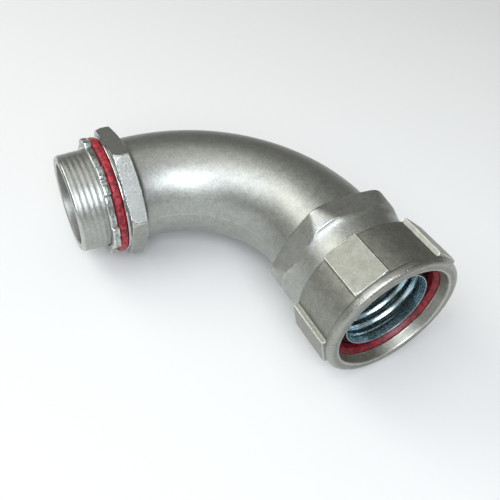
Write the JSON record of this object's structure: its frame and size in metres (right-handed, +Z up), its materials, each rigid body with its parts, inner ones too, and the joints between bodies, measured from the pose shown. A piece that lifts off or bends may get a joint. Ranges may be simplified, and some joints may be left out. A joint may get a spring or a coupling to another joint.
{
  "type": "liquidtight conduit connector",
  "caption": "Right-angle sweep elbow that joins liquidtight flexible conduit to a box wall, with a threaded nose, locknut, gasket, compression nut, sealing ring and screw-in ferrule.",
  "frame": {"origin": "on the nose's axis, in the face of the hub that seats against the box wall", "axes": "-X out of the threaded nose, -Y out of the gland, +Z up, with the elbow lying on its side"},
  "size_m": [0.1208, 0.1365, 0.0589],
  "materials": {
    "body_casting": "zinc plated, satin",
    "nut_casting": "zinc plated, satin",
    "seal": "moulded, slightly glossy",
    "ferrule_steel": "bright zinc plated, rolled",
    "retainer_steel": "zinc plated",
    "gasket_rubber": "moulded, slightly glossy",
    "locknut_steel": "zinc plated, stamped"
  },
  "bodies": {
    "elbow": {"elbow_body": "body_casting", "ferrule": "ferrule_steel", "gasket_retainer": "retainer_steel"},
    "seal": {"sealing_ring": "seal"},
    "nut": {"gland_nut": "nut_casting"},
    "gasket": {"gasket": "gasket_rubber"},
    "locknut": {"locknut": "locknut_steel"}
  },
  "joints": [
    {"name": "gland_travel", "type": "slide", "parent": "elbow", "child": "seal", "axis": [0, -1, 0], "range_m": [0, 0.008]},
    {"name": "gland_turn", "type": "hinge", "parent": "seal", "child": "nut", "pos_m": [0.07125, -0.095, 0], "axis": [0, -1, 0], "range_deg": [0, 1800]},
    {"name": "locknut_travel", "type": "slide", "parent": "elbow", "child": "gasket", "axis": [-1, 0, 0], "range_m": [0, 0.0111]},
    {"name": "locknut_turn", "type": "hinge", "parent": "gasket", "child": "locknut", "pos_m": [-0.0063, 0, 0], "axis": [-1, 0, 0], "range_deg": [0, 1800]}
  ],
  "couplings": [
    {"joint": "gland_travel", "follows": "gland_turn", "m_per_rad": 0.00025266},
    {"joint": "locknut_travel", "follows": "locknut_turn", "m_per_rad": 0.00035153}
  ]
}
